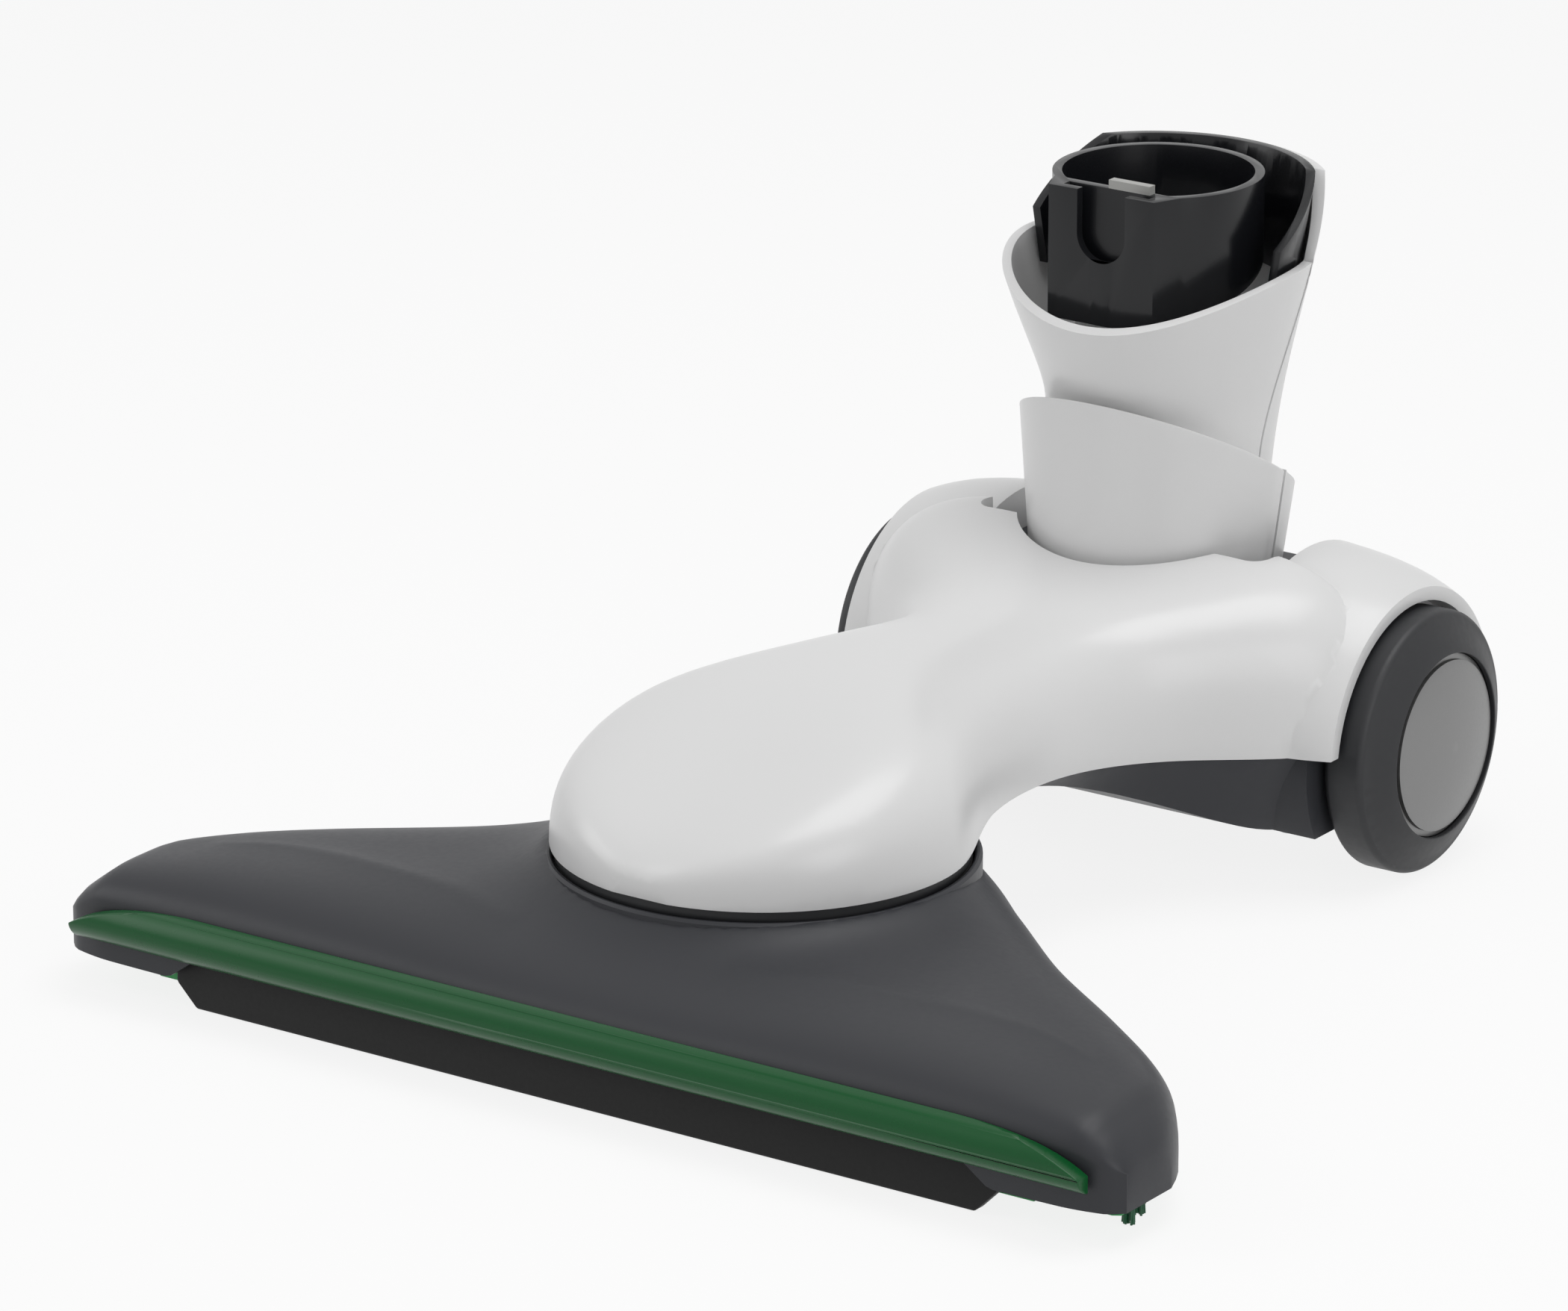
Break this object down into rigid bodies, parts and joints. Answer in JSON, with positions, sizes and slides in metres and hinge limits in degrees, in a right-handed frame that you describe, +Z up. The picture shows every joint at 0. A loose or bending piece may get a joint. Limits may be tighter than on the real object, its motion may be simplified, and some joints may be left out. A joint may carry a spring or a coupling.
{
  "type": "vacuum floor brush head",
  "caption": "Wide vacuum floor head with a swivel neck, wheels, a tilting elbow, a turning tube socket and a bristled sole.",
  "frame": {"origin": "on the floor, under the middle of the box over front edge and wheels", "axes": "+X to the right across the head, -Y towards the front strip, +Z up from the floor"},
  "size_m": [0.304, 0.3064, 0.1722],
  "materials": {
    "grey_plastic": "satin moulded plastic",
    "dark_green_plastic": "satin moulded plastic",
    "black_rubber": "matte soft blade",
    "bright_green_plastic": "satin moulded plastic",
    "bristle_fibre": "dense cut nylon tufts",
    "felt": "pressed felt",
    "white_plastic": "smooth semi-matte",
    "black_plastic": "matte moulded plastic",
    "steel": "zinc-plated",
    "tyre_rubber": "soft matte tread",
    "satin_cap": "satin metallised",
    "gloss_black_plastic": "polished",
    "contact_plastic": "light moulded insulator"
  },
  "bodies": {
    "neck": {"neck_upper_shell": "white_plastic", "neck_lower_shell": "grey_plastic", "turret": "black_plastic", "turret_clip": "black_plastic", "neck_screws": "steel", "axle_left": "steel", "axle_right": "steel", "axle_clip_left": "steel", "axle_clip_right": "steel"},
    "head": {"head_cover": "grey_plastic", "front_strip": "dark_green_plastic", "front_lip": "black_rubber", "sole_plate": "bright_green_plastic", "outer_bristles": "bristle_fibre", "inner_bristles": "bristle_fibre", "seal_ring": "felt"},
    "wheel_left": {"tyre_left": "tyre_rubber", "hub_left": "black_plastic", "cap_left": "satin_cap"},
    "wheel_right": {"tyre_right": "tyre_rubber", "hub_right": "black_plastic", "cap_right": "satin_cap"},
    "elbow": {"elbow_drum": "grey_plastic", "collar_front": "white_plastic", "collar_rear": "white_plastic"},
    "socket": {"swivel_spigot": "black_plastic", "swivel_clip": "black_plastic", "funnel_front": "white_plastic", "funnel_rear": "white_plastic", "tube_socket": "gloss_black_plastic", "inner_duct": "white_plastic", "contact_block": "contact_plastic"}
  },
  "joints": [
    {"name": "head_swivel", "type": "hinge", "parent": "neck", "child": "head", "pos_m": [0, -0.06837, 0.0375], "axis": [0, 0, 1], "range_deg": [-45, 45]},
    {"name": "wheel_left_spin", "type": "hinge", "parent": "neck", "child": "wheel_left", "pos_m": [-0.0725, 0.10863, 0.0335], "axis": [1, 0, 0], "continuous": true},
    {"name": "wheel_right_spin", "type": "hinge", "parent": "neck", "child": "wheel_right", "pos_m": [0.0725, 0.10863, 0.0335], "axis": [1, 0, 0], "continuous": true},
    {"name": "elbow_tilt", "type": "hinge", "parent": "neck", "child": "elbow", "pos_m": [0, 0.10863, 0.048], "axis": [-1, 0, 0], "range_deg": [0, 75]},
    {"name": "tube_swivel", "type": "hinge", "parent": "elbow", "child": "socket", "pos_m": [0, 0.10363, 0.099], "axis": [0, 0.5, 0.866], "range_deg": [-90, 90]}
  ]
}
